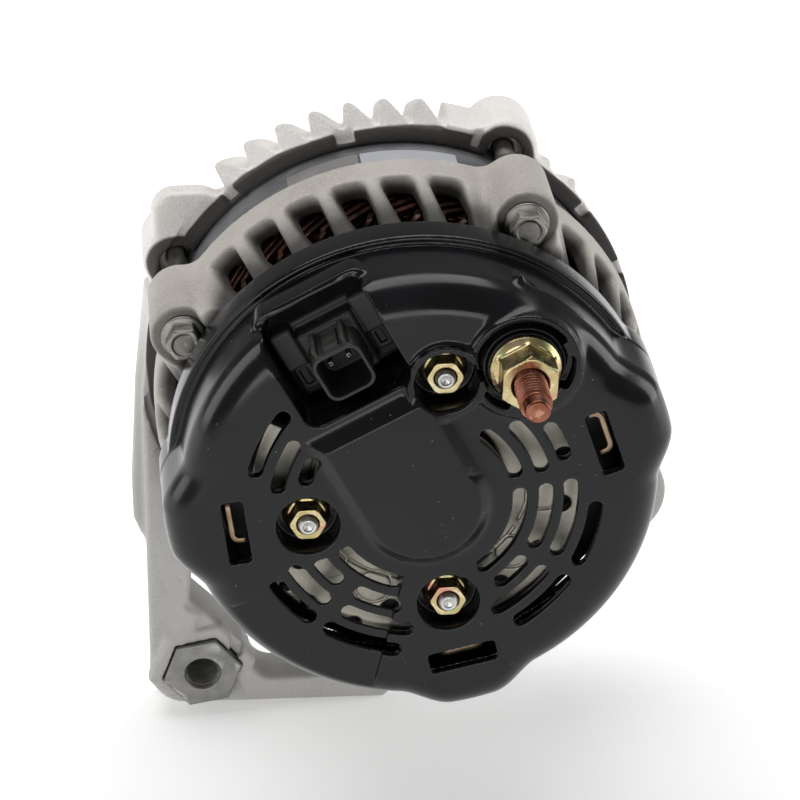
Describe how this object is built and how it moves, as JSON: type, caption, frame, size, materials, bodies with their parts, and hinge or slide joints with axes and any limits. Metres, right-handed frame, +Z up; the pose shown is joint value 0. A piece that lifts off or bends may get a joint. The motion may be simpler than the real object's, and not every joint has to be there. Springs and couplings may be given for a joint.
{
  "type": "car alternator",
  "caption": "Belt-driven car alternator: vented plastic rear cover with plug socket and terminal stud, finned cast housings, claw-pole rotor, pulley and side mounting arm.",
  "frame": {"origin": "centre of the rotor shaft's flat end face, at the pulley", "axes": "+Y along the rotor's axis and out of the pulley end, -Y out of the rear cover, +Z up as pictured, away from the mounting arm"},
  "size_m": [0.1463, 0.17, 0.1785],
  "materials": {
    "cast_aluminium": "as cast, fine grain, lightly weathered",
    "cover_plastic": "satin moulded, black to blue-grey",
    "black_plastic": "moulded",
    "plug_plastic": "moulded, grey-brown",
    "laminations": "stacked electrical steel, dull",
    "copper": "enamelled copper",
    "copper_stud": "copper-plated, worn thread",
    "zinc_yellow": "yellow-passivated zinc on steel, iridescent",
    "steel": "turned or ground",
    "dark_steel": "phosphated or rolled",
    "plate": "pressed heatsink plate",
    "carbon": "pressed graphite"
  },
  "bodies": {
    "housing": {"rear_cover": "cover_plastic", "b_terminal_insulator": "black_plastic", "b_terminal_nut": "zinc_yellow", "b_terminal_stud": "copper_stud", "cover_nut_1": "zinc_yellow", "cover_nut_2": "zinc_yellow", "cover_nut_3": "zinc_yellow", "cover_stud_1": "steel", "cover_stud_2": "steel", "cover_stud_3": "steel", "heatsink_positive": "plate", "terminal_plate": "black_plastic", "heatsink_negative": "plate", "stator_lead_1": "copper", "stator_lead_2": "copper", "stator_lead_3": "copper", "voltage_regulator": "plug_plastic", "connector_pin_1": "steel", "connector_pin_2": "steel", "brush_holder": "black_plastic", "brush_spring_1": "steel", "brush_spring_2": "steel", "rear_housing": "cast_aluminium", "stator_core": "laminations", "stator_winding": "copper", "front_housing": "cast_aluminium", "mounting_bush": "steel", "through_bolt_1": "dark_steel", "through_bolt_2": "dark_steel", "through_bolt_3": "dark_steel", "through_bolt_4": "dark_steel", "rear_bearing_outer_race": "steel", "front_bearing_outer_race": "steel", "bearing_retainer": "steel", "retainer_screw_1": "dark_steel", "retainer_screw_2": "dark_steel", "retainer_screw_3": "dark_steel", "retainer_screw_4": "dark_steel"},
    "rotor": {"rotor_shaft": "steel", "slip_ring_insulator": "black_plastic", "slip_ring_1": "copper", "slip_ring_2": "copper", "pole_claw_rear": "dark_steel", "pole_claw_front": "dark_steel", "field_bobbin": "black_plastic", "field_coil": "copper", "fan_rear": "steel", "fan_front": "steel", "pulley": "dark_steel", "pulley_spacer": "steel", "pulley_nut": "steel", "rear_bearing_inner_race": "steel", "front_bearing_inner_race": "steel"},
    "rear_cage": {"rear_bearing_balls": "steel"},
    "front_cage": {"front_bearing_balls": "steel"},
    "rear_brush": {"brush_1": "carbon"},
    "front_brush": {"brush_2": "carbon"}
  },
  "joints": [
    {"name": "rotor_spin", "type": "hinge", "parent": "housing", "child": "rotor", "pos_m": [0, 0, 0], "axis": [0, 1, 0], "continuous": true},
    {"name": "rear_cage_spin", "type": "hinge", "parent": "housing", "child": "rear_cage", "pos_m": [0, -0.116, 0], "axis": [0, 1, 0], "continuous": true},
    {"name": "front_cage_spin", "type": "hinge", "parent": "housing", "child": "front_cage", "pos_m": [0, -0.0412, 0], "axis": [0, 1, 0], "continuous": true},
    {"name": "rear_brush_slide", "type": "slide", "parent": "housing", "child": "rear_brush", "axis": [-0.4633, 0, 0.8862], "range_m": [0, 0.006], "stiffness_N_per_m": 150, "springref_m": -0.012, "deforming": ["brush_spring_1"]},
    {"name": "front_brush_slide", "type": "slide", "parent": "housing", "child": "front_brush", "axis": [-0.4633, 0, 0.8862], "range_m": [0, 0.006], "stiffness_N_per_m": 150, "springref_m": -0.012, "deforming": ["brush_spring_2"]}
  ],
  "couplings": [
    {"joint": "rear_cage_spin", "follows": "rotor_spin", "ratio": 0.384},
    {"joint": "front_cage_spin", "follows": "rotor_spin", "ratio": 0.375}
  ]
}
